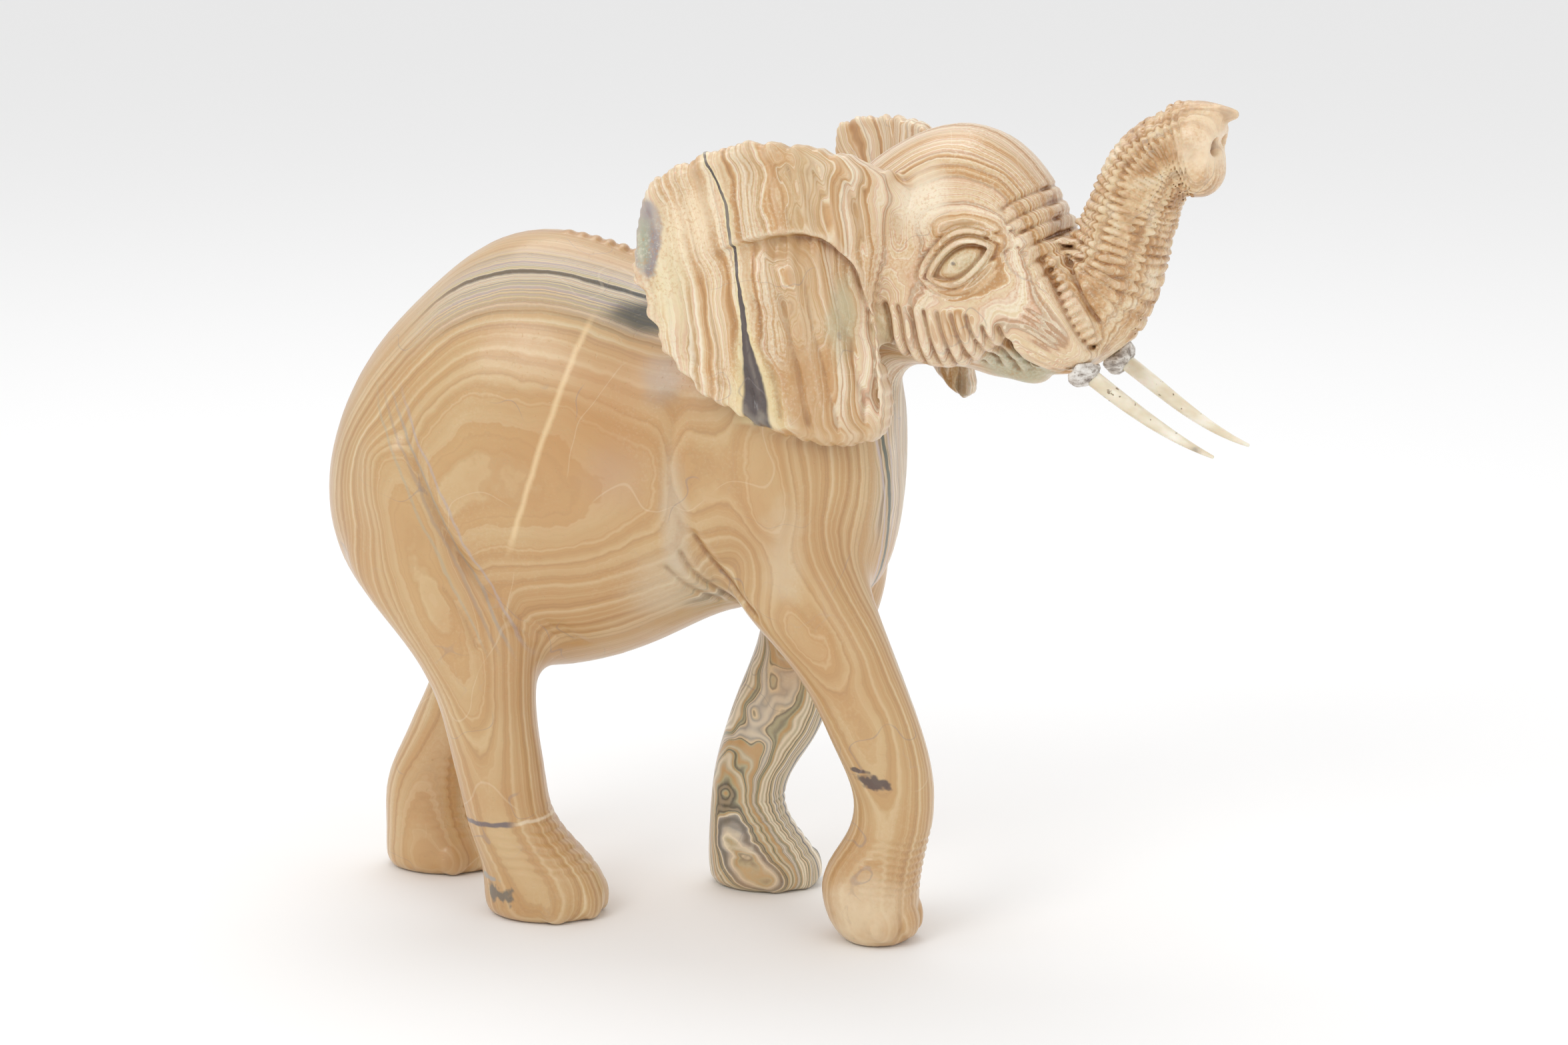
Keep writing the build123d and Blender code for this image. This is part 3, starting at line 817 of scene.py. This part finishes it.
class Paint:
    """A procedural material; every length is in mm in the animal's own axes."""

    def __init__(self, name):
        self.material = bpy.data.materials.new(name)
        self.material.use_nodes = True
        self.tree = self.material.node_tree
        self.shader = self.tree.nodes["Principled BSDF"]
        self.colour = None
        place = self.node("TexCoord", {}).outputs["Object"]
        self.place = self.node("Mapping", {0: place, 1: tuple(-BODY_OFFSET), 3: (1 / MM,) * 3}).outputs[0]
        self.x, self.y, self.z = self.parts(self.place)
        moved = self.vector("SUBTRACT", self.place, (HEAD_PIVOT, 0, 0))
        turned = self.node("VectorRotate", {0: moved, 3: -HEAD_TURN}, rotation_type="Z_AXIS").outputs[0]
        self.head = turned
        self.head_x, self.head_y, self.head_z = self.parts(turned)

    def node(self, kind, inputs, **settings):
        made = self.tree.nodes.new("ShaderNode" + kind)
        for key, value in settings.items():
            setattr(made, key, value)
        for key, value in inputs.items():
            if isinstance(value, Field):
                value = value.socket
            if isinstance(value, bpy.types.NodeSocket):
                self.tree.links.new(value, made.inputs[key])
            else:
                made.inputs[key].default_value = value
        return made

    def parts(self, vector):
        made = self.node("SeparateXYZ", {0: vector})
        return [Field(self, out) for out in made.outputs]

    def vector(self, operation, a, b):
        return self.node("VectorMath", {0: a, 1: b}, operation=operation).outputs[0]

    def math(self, operation, a, b=0.0):
        return Field(self, self.node("Math", {0: a, 1: b}, operation=operation).outputs[0])

    def step(self, value, low, high):
        """0 at low, 1 at high, smooth between; low may be the larger."""
        inputs = {0: value, 1: low, 2: high, 3: 0.0, 4: 1.0}
        return Field(self, self.node("MapRange", inputs, interpolation_type="SMOOTHSTEP").outputs[0])

    def noise(self, period, detail=2.0, rough=0.5, along=None, vector=None, shift=0.0):
        """Noise from 0 to 1 with that period in mm, in space or along one number."""
        inputs = {"Scale": 1.0 / period, "Detail": detail, "Roughness": rough}
        if along is not None:
            inputs["W"] = along + shift
            made = self.node("TexNoise", inputs, noise_dimensions="1D")
        else:
            inputs["Vector"] = self.vector("ADD", vector or self.place, (shift, shift, shift))
            made = self.node("TexNoise", inputs, noise_dimensions="3D")
        return Field(self, made.outputs[0])

    def ramp(self, value, stops):
        """Colours from (place, colour) stops."""
        made = self.node("ValToRGB", {0: value})
        ramp = made.color_ramp
        while len(ramp.elements) < len(stops):
            ramp.elements.new(1.0)
        for element, (at, colour) in zip(ramp.elements, stops):
            element.position = at
            element.color = (*colour, 1)
        return made.outputs[0]

    def mix(self, share, a, b, blend="MIX"):
        colours = {0: share}
        for key, value in ((6, a), (7, b)):
            colours[key] = (*value, 1) if isinstance(value, tuple) else value
        return self.node("Mix", colours, data_type="RGBA", blend_type=blend, clamp_factor=True).outputs[2]

    def tint(self, share, colour, blend="MIX"):
        """Lays a colour over what is there so far."""
        self.colour = self.mix(share, self.colour, colour, blend)

    def near(self, centre, radii, inner=0.5, turned=True, uneven=None):
        """1 inside an ellipsoid, fading to 0 at its surface."""
        start = self.head if turned else self.place
        away = self.vector("DIVIDE", self.vector("SUBTRACT", start, centre), radii)
        away = Field(self, self.node("VectorMath", {0: away}, operation="LENGTH").outputs["Value"])
        if uneven is not None:
            away = away + uneven
        return self.step(away, 1.0, inner)

    def line(self, value, points):
        """A number that follows value from (value, result) points, straight between them."""
        lows, results = [p[0] for p in points], [p[1] for p in points]
        low, high, base, top = lows[0], lows[-1], min(results), max(results)
        share = (value - low) / (high - low)
        stops = [((a - low) / (high - low), ((b - base) / (top - base),) * 3) for a, b in points]
        colour = self.ramp(share, stops)
        grey = Field(self, self.node("SeparateColor", {0: colour}).outputs[0])
        return grey * (top - base) + base

    def finish(self, roughness, height, reach=0.2):
        """Joins the colour, roughness and height to the shader; reach is the height's scale in mm."""
        bump = self.node("Bump", {"Strength": 1.0, "Distance": reach * MM, "Height": height})
        sources = {"Base Color": self.colour, "Roughness": roughness.socket, "Normal": bump.outputs[0]}
        for name, source in sources.items():
            self.tree.links.new(source, self.shader.inputs[name])
        return self.material


BROWN = (0.31, 0.150, 0.055)
ORANGE = (0.47, 0.245, 0.085)
TAN = (0.53, 0.325, 0.140)
SAND = (0.60, 0.42, 0.215)
CREAM = (0.76, 0.61, 0.39)
PALE = (0.86, 0.76, 0.58)
PEACH = (0.68, 0.43, 0.28)
LILAC = (0.42, 0.36, 0.36)
GREY = (0.34, 0.32, 0.29)
OLIVE = (0.42, 0.40, 0.25)
DARK = (0.060, 0.062, 0.052)
PLUM = (0.050, 0.034, 0.045)


def stone_material():
    """Picture stone: thin layers parallel to the animal's flank, warped, with veins and patches, and some
    painted shade and painted highlights.
    """
    p = Paint("banded_picture_stone")
    x, y, z = p.x, p.y, p.z
    broad = p.noise(75, 2.0) - 0.5
    medium = p.noise(22, 2.0, shift=31) - 0.5
    fine = p.noise(4.0, 2.0, shift=77) - 0.5
    grain = p.noise(0.9, 3.0, 0.6, shift=11)
    face = p.step(x, 10, 26) * p.step(z, 148, 166)
    right_ear = p.step(y, -44.5, -47)
    left_ear = p.step(y, 47, 50) * p.step(z, 140, 150)
    ears = p.math("MAXIMUM", right_ear * p.step(z, 140, 150), left_ear)
    light = p.math("MAXIMUM", face, ears)
    ear_layer = p.head_x * 0.42 + (z - 200) * 0.076 - 41.6
    calm = p.near((-60, -43, 134), (58, 30, 62), 0.2, turned=False)
    swing = 8 + p.step(y, 0, 24) * 9 - calm * 5.5
    layer = y + (ear_layer - y) * ears + broad * swing + medium * 1.5 + fine * 0.5

    # broad tones, then fine lines
    body = p.ramp(p.step(p.noise(7.0, 3.0, 0.55, along=layer), 0.28, 0.72),
                  [(0.0, ORANGE), (0.25, TAN), (0.45, SAND), (0.55, TAN), (0.75, (0.56, 0.35, 0.155)),
                   (0.9, SAND), (1.0, CREAM)])
    head = p.ramp(p.step(p.noise(3.4, 3.0, 0.6, along=layer * 1.25 + medium * 2.5, shift=200), 0.27, 0.73),
                  [(0.0, ORANGE), (0.22, (0.62, 0.37, 0.17)), (0.4, CREAM), (0.5, PALE), (0.62, PEACH),
                   (0.78, CREAM), (0.9, TAN), (1.0, PALE)])
    p.colour = p.mix(light, body, head)
    raised_trunk = p.step(p.head_x, 72, 84) * light
    blotches = p.ramp(p.step(p.noise(9, 4.0, 0.65, shift=88), 0.3, 0.7),
                      [(0.0, BROWN), (0.25, ORANGE), (0.5, (0.66, 0.43, 0.22)), (0.75, CREAM), (1.0, PALE)])
    p.tint(raised_trunk * 0.75, blotches)
    tone = p.step(p.noise(38, 2.0, shift=5), 0.35, 0.65)
    p.tint(tone * 0.45 * (1 - light * 0.5), (0.50, 0.265, 0.10))
    lines = p.noise(1.15, 3.0, 0.65, along=layer, shift=400)
    sharp = 0.28 + light * 0.25
    p.tint(p.step(lines, 0.52, 0.68) * sharp, CREAM)
    p.tint(p.step(lines, 0.48, 0.32) * sharp, BROWN)

    # an orange-brown middle of the flank and a paler belly
    flank = p.near((-45, -40, 158), (34, 30, 30), 0.1, turned=False)
    p.tint(flank * 0.55, (0.50, 0.25, 0.085))
    belly = p.near((-26, -34, 98), (24, 26, 24), 0.1, turned=False, uneven=medium)
    p.tint(belly * 0.6, (0.66, 0.56, 0.40))

    # dark stripe band along the back
    stripes = p.ramp(p.step(p.noise(2.6, 3.0, 0.6, along=layer, shift=90), 0.3, 0.7),
                     [(0.0, DARK), (0.18, GREY), (0.3, CREAM), (0.44, OLIVE), (0.52, LILAC), (0.64, PALE),
                      (0.76, GREY), (0.86, CREAM), (1.0, LILAC)])
    along_back = p.step(z, 160, 174) * p.step(x, -118, -88) * p.step(x, 30, 12)
    band = p.math("EXPONENT", p.math("POWER", abs((y + 22.5 + medium * 4) / 8.0), 3.0) * -1.0)
    p.tint(band * along_back * (0.8 + p.step(x, -70, -35) * 0.2), stripes)
    dark_back = p.near((-32, -26.5, 185.5), (21, 6.5, 9.0), 0.3, turned=False, uneven=medium)
    p.tint(dark_back * 0.9, DARK)

    # grey and green marbling in the far front leg, the chest, the near shin and the armpit
    swirl = p.noise(4.4, 2.5, 0.5, along=y + broad * 34 + medium * 11 + x * 0.25, shift=33)
    marble = p.ramp(p.step(swirl, 0.3, 0.7),
                    [(0.0, DARK), (0.16, GREY), (0.26, PALE), (0.4, (0.52, 0.46, 0.31)), (0.5, TAN),
                     (0.58, OLIVE), (0.66, DARK), (0.73, CREAM), (0.86, GREY), (1.0, PALE)])
    far_leg = p.step(y, 6, 12) * p.step(z, 100, 74) * p.step(x, -52, -44) * p.step(x, 26, 16)
    chest = p.step(x, 22, 32) * p.step(y, -25, -17) * p.step(z, 112, 128) * p.step(z, 176, 160)
    shin = p.near((43.5, -20.5, 88), (7.5, 9, 22), 0.6, turned=False, uneven=medium)
    armpit = p.near((-16, -24, 98), (13, 16, 17), 0.2, turned=False, uneven=medium)
    share = p.math("MAXIMUM", far_leg * 0.88, chest * 0.5)
    share = p.math("MAXIMUM", share, p.math("MAXIMUM", shin * 0.85, armpit * 0.45))
    p.tint(share, marble)

    # patches of tint: centre, radii, where it starts to fade, amount, colour, in the head's axes or not
    rough = medium * 0.9 + fine * 0.35
    for centre, radii, inner, amount, tint, turned in (
            ((33, -29, 223), (11, 14, 15), 0.3, 0.75, PALE, True),
            ((45, -31, 206), (11, 10, 6), 0.5, 0.55, (0.72, 0.64, 0.42), True),
            ((13.5, -40, 190), (5.5, 14, 19), 0.4, 0.75, (0.50, 0.44, 0.27), True),
            ((20, -24, 186), (4.5, 9, 9), 0.4, 0.7, (0.66, 0.57, 0.36), True),
            ((56, -12, 173), (13, 24, 7.5), 0.5, 0.85, (0.50, 0.48, 0.33), True),
            ((109, 0, 239), (13, 16, 15), 0.4, 0.85, (0.88, 0.70, 0.49), True),
            ((-34, -57, 200), (9, 12, 24), 0.2, 0.8, (0.80, 0.69, 0.44), True),
            ((-38.5, -58, 211), (4.6, 12, 14), 0.75, 0.85, (0.25, 0.22, 0.25), True),
            ((-39.2, -58, 209), (3.2, 12, 11), 0.3, 0.8, (0.40, 0.43, 0.30), True),
            ((33, -32, 11), (17, 20, 19), 0.2, 0.75, (0.80, 0.66, 0.45), False),
            ((-25, -54, 219), (13, 14, 18), 0.2, 0.6, (0.90, 0.75, 0.52), True),
            ((4, -44, 170), (15, 14, 20), 0.2, 0.6, (0.50, 0.26, 0.09), True),
            ((-27, -36, 168), (9, 9, 14), 0.2, 0.55, (0.38, 0.30, 0.23), False),
            # the next patch darkens the rump: painted shade
            ((-130, -8, 140), (22, 34, 56), 0.2, 0.35, (0.46, 0.26, 0.11), False),
            ((-24, -40, 124), (5.5, 13, 34), 0.2, 0.45, (0.60, 0.52, 0.40), False),
            ((-42, -43, 142), (15, 10, 15), 0.1, 0.4, (0.47, 0.27, 0.17), False),
            ((9, -36, 116), (9, 12, 24), 0.2, 0.45, (0.70, 0.62, 0.45), False),
            # the last patch paints the drilled pupil dark: painted shade in its pit
            ((44.3, -32.5, 205.8), (0.95, 6, 0.95), 0.5, 0.8, (0.20, 0.17, 0.15), True)):
        place = p.near(centre, radii, inner, turned, rough)
        p.tint(place * amount, tint)

    ragged = fine * 2.4 + medium * 1.2
    for centre, radii, tint in (
            ((-81, -36, 9), (9, 8, 3.4), (0.13, 0.12, 0.10)),
            ((-84, -36, 13), (5, 8, 1.2), GREY),
            ((35.5, -38, 51.5), (6.5, 9, 2.2), PLUM),
            ((31, -38, 54.5), (3.4, 9, 0.9), PLUM)):
        p.tint(p.near(centre, radii, 0.55, False, ragged) * 0.85, tint)

    # the dark vein of the right ear, with its yellow halo
    wander = fine * 0.9 + medium * 1.2
    course = p.line(z, [(150, -7.6), (161, -8.4), (178, -10.0), (186, -11.6), (198, -12.4), (204, -13.8),
                        (222, -15.8), (235, -21.7), (242, -25)])
    across = abs(p.head_x - course + wander)
    width = p.line(z, [(150, 4.6), (163, 3.4), (176, 2.1), (186, 0.85), (200, 0.45), (242, 0.42)])
    outside = p.step(p.head_y, -40, -43) * p.step(z, 156.6, 158.0)
    p.tint(p.step(across / width, 3.0, 1.2) * outside * 0.7, (0.80, 0.68, 0.38))
    p.tint(p.step(across / width, 1.15, 0.8) * outside * 0.94, PLUM)

    # a painted highlight: the straight pale streak over the flank, a strip light's reflection; then the line
    # of the thigh, the chest and ankle veins
    near_side = p.step(y, -14, -20)
    straight = abs(x + 62.2 - (z - 150.5) * 0.325 + fine * 0.9 + medium * 1.5) * 0.951
    ends = p.step(z, 112, 124) * p.step(z, 188, 180)
    # painted highlight: the reflected streak of a strip light
    p.tint(p.step(straight, 1.5, 0.0) * ends * near_side * 0.7, (0.80, 0.60, 0.34))
    thigh = x + 101.5 + (z - 141.5) * 0.477
    for gap, tint in ((0, GREY), (3.1, (0.36, 0.27, 0.20)), (-3.4, LILAC), (6.4, (0.42, 0.36, 0.25))):
        vein = p.step(abs(thigh + gap + medium * 5 + fine), 0.75, 0.15)
        vein = vein * p.step(z, 80, 92) * p.step(z, 168, 150)
        p.tint(vein * near_side * 0.5, tint)
    breast = abs(y + 15.6 - (145 - z) * 0.244 + medium * 2 + fine)
    fore = p.step(x, 20, 26) * p.step(z, 74, 84) * p.step(z, 172, 160)
    p.tint(p.step(breast, 1.3, 0.6) * fore * 0.9, (0.05, 0.075, 0.055))
    p.tint(p.step(abs(breast - 3.2), 0.8, 0.2) * fore * 0.6, (0.55, 0.47, 0.50))
    ankle = abs(z - 30.8 - (x + 82) * 0.07 + fine * 1.4 + medium)
    hind = p.step(x, -58, -62) * p.step(y, -3, -6) * p.step(x, -101, -97)
    p.tint(p.step(ankle, 1.0, 0.4) * hind * p.step(x, -73, -77) * 0.9, (0.14, 0.11, 0.12))
    p.tint(p.step(ankle, 0.8, 0.2) * hind * p.step(x, -76, -72) * 0.5, PALE)

    # three nets of hair-thin veins, orange grains on the head, then painted shade darkening the grooves and a
    # painted highlight lightening the ridges
    for period, shift, thin, amount, tint in ((34, 61, 0.0016, 0.35, (0.25, 0.20, 0.20)),
                                              (60, 15, 0.0013, 0.15, PALE),
                                              (19, 140, 0.002, 0.2, (0.45, 0.33, 0.25))):
        net = abs(p.noise(period, 2.0, 0.45, shift=shift) - 0.5)
        patchy = p.step(p.noise(30, 1.0, shift=shift + 9), 0.52, 0.60)
        p.tint(p.step(net, thin * 2, thin * 0.5) * patchy * amount, tint)
    grainy = p.step(p.noise(26, 2.0, shift=300), 0.4, 0.6)
    speckle = p.step(across / width, 1.0, 1.6) * grainy
    p.tint(p.step(grain, 0.52, 0.62) * (light * 0.30 + 0.08) * speckle, (0.56, 0.27, 0.085))
    p.tint(p.step(grain, 0.47, 0.37) * (light * 0.22 + 0.05) * speckle, PALE)
    hollow = Field(p, p.node("Attribute", {}, attribute_name="hollow").outputs["Fac"])
    # painted shade in the grooves, then a painted highlight on the ridges
    p.tint(p.step(hollow, 0.05, 0.75) * 0.75, (0.44, 0.26, 0.12), "MULTIPLY")
    p.tint(p.step(hollow, -0.08, -0.7) * 0.30, PALE)

    cut = p.math("MAXIMUM", face, p.step(hollow, 0.1, 0.4))
    roughness = 0.34 + (p.noise(9, 3.0, shift=50) - 0.5) * 0.22 + cut * 0.05
    pores = p.step(p.noise(1.6, 2.0, 0.5, shift=70), 0.36, 0.28)
    height = grain * (cut * 0.5 + 0.06) + fine * cut * 0.9 - pores * 0.25
    p.shader.inputs["IOR"].default_value = 1.52
    p.shader.inputs["Coat Weight"].default_value = 0.25
    p.shader.inputs["Coat Roughness"].default_value = 0.16
    p.shader.inputs["Subsurface Weight"].default_value = 0.12
    p.shader.inputs["Subsurface Scale"].default_value = 0.002
    return p.finish(roughness, height)


def bone_material():
    """Old ivory-white bone: grain along the tusk, pits, and a dark smudge near the right tip."""
    p = Paint("tusk_bone")
    grain = p.noise(3.0, 3.0, vector=p.node("Mapping", {0: p.head, 3: (0.25, 1.0, 0.5)}).outputs[0])
    p.colour = p.ramp(p.step(grain, 0.3, 0.7),
                      [(0.0, (0.72, 0.63, 0.46)), (0.5, (0.82, 0.76, 0.61)), (1.0, (0.90, 0.86, 0.76))])
    blotch = p.step(p.noise(9, 2.0, shift=20), 0.5, 0.66)
    p.tint(blotch * 0.35, (0.66, 0.55, 0.36))
    pits = p.step(p.noise(1.5, 2.0, shift=50), 0.33, 0.27) * p.step(p.noise(11, 1.0, shift=9), 0.46, 0.56)
    p.tint(pits * 0.8, (0.20, 0.13, 0.07))
    uneven = p.noise(3, 2.0) - 0.5
    smudge = p.near((112, -19, 153.5), (5.5, 8, 2.6), 0.2, True, uneven)
    p.tint(smudge * 0.75, (0.12, 0.11, 0.10))
    p.shader.inputs["Subsurface Weight"].default_value = 0.15
    p.shader.inputs["Subsurface Scale"].default_value = 0.002
    p.shader.inputs["Coat Weight"].default_value = 0.15
    return p.finish(0.42 + (grain - 0.5) * 0.2, grain * 0.3 - pits * 1.0, 0.25)


def putty_material():
    """Grey-white filling compound, streaked and smeared by hand."""
    p = Paint("tusk_putty")
    smear = p.noise(2.2, 4.0, 0.6, vector=p.node("Mapping", {0: p.head, 3: (0.6, 1.0, 1.3)}).outputs[0])
    p.colour = p.ramp(p.step(smear, 0.3, 0.7),
                      [(0.0, (0.24, 0.20, 0.17)), (0.35, (0.47, 0.42, 0.37)), (0.65, (0.66, 0.62, 0.57)),
                       (1.0, (0.80, 0.77, 0.72))])
    dirt = p.step(p.noise(0.8, 2.0, shift=44), 0.4, 0.3)
    p.tint(dirt * 0.6, (0.20, 0.14, 0.09))
    return p.finish(0.45 + (smear - 0.5) * 0.4, smear * 1.0 - dirt * 0.4, 0.3)


def carried_over(node, material):
    """Gives a CAD node that stays a finished material in place of its plain one."""
    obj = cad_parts[node]
    if not obj.material_slots:
        obj.data.materials.append(material)
    for slot in obj.material_slots:
        slot.material = material


clay = sculpt()
carving = carving_object(clay)
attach(carving, "root")
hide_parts("carved_body")
carving.data.materials.append(stone_material())
putty = putty_material()
bone = bone_material()
for side_name, seed in (("right", 3), ("left", 4)):
    collar = putty_object("putty_collar_" + side_name, "tusk_filler_" + side_name, "tusk_" + side_name,
                          clay, seed)
    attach(collar, "root")
    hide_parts("tusk_filler_" + side_name)
    collar.data.materials.append(putty)
    carried_over("tusk_" + side_name, bone)


# ------------------------------------------------------------------ studio
CAMERA_TURN = math.radians(13)
CAMERA_RISE = math.radians(12)
CAMERA_DISTANCE = 1.3
AIM_HEIGHT = 0.11975
LENS = 99.5


def studio():
    camera = bpy.data.objects.new("camera", bpy.data.cameras.new("camera"))
    bpy.context.scene.collection.objects.link(camera)
    level = math.cos(CAMERA_RISE)
    back = Vector((math.sin(CAMERA_TURN) * level, -math.cos(CAMERA_TURN) * level, math.sin(CAMERA_RISE)))
    target = Vector((BODY_OFFSET[0] * MM, BODY_OFFSET[1] * MM, AIM_HEIGHT))
    camera.location = target + back * CAMERA_DISTANCE
    camera.rotation_euler = (-back).to_track_quat("-Z", "Y").to_euler()
    camera.data.lens = LENS
    camera.data.sensor_width = 36
    camera.data.clip_start = 0.05
    bpy.context.scene.camera = camera

    bpy.ops.mesh.primitive_plane_add(size=8, location=(0, 0, 0))
    floor = bpy.context.object
    floor.name = "studio_floor"
    paint = bpy.data.materials.new("floor_paint")
    paint.use_nodes = True
    shader = paint.node_tree.nodes["Principled BSDF"]
    shader.inputs["Base Color"].default_value = (0.93, 0.93, 0.93, 1)
    shader.inputs["Roughness"].default_value = 0.9
    floor.data.materials.append(paint)

    def lamp(name, at, size, power):
        light = bpy.data.lights.new(name, "AREA")
        light.shape = "DISK"
        light.size = size
        light.energy = power
        obj = bpy.data.objects.new(name, light)
        bpy.context.scene.collection.objects.link(obj)
        obj.location = at
        obj.rotation_euler = (Vector((0, 0, 0.12)) - Vector(at)).to_track_quat("-Z", "Y").to_euler()

    lamp("key", (-0.5, -1.2, 1.1), 0.7, 5.0)
    lamp("fill", (1.1, -0.9, 0.7), 0.9, 1.2)
    lamp("top", (-0.2, 0.5, 1.3), 0.9, 4.0)
    world = bpy.data.worlds.new("world")
    bpy.context.scene.world = world
    world.use_nodes = True
    world.node_tree.nodes["Background"].inputs["Color"].default_value = (1, 1, 1, 1)
    world.node_tree.nodes["Background"].inputs["Strength"].default_value = 0.86
    bpy.context.scene.view_settings.view_transform = "Standard"


studio()
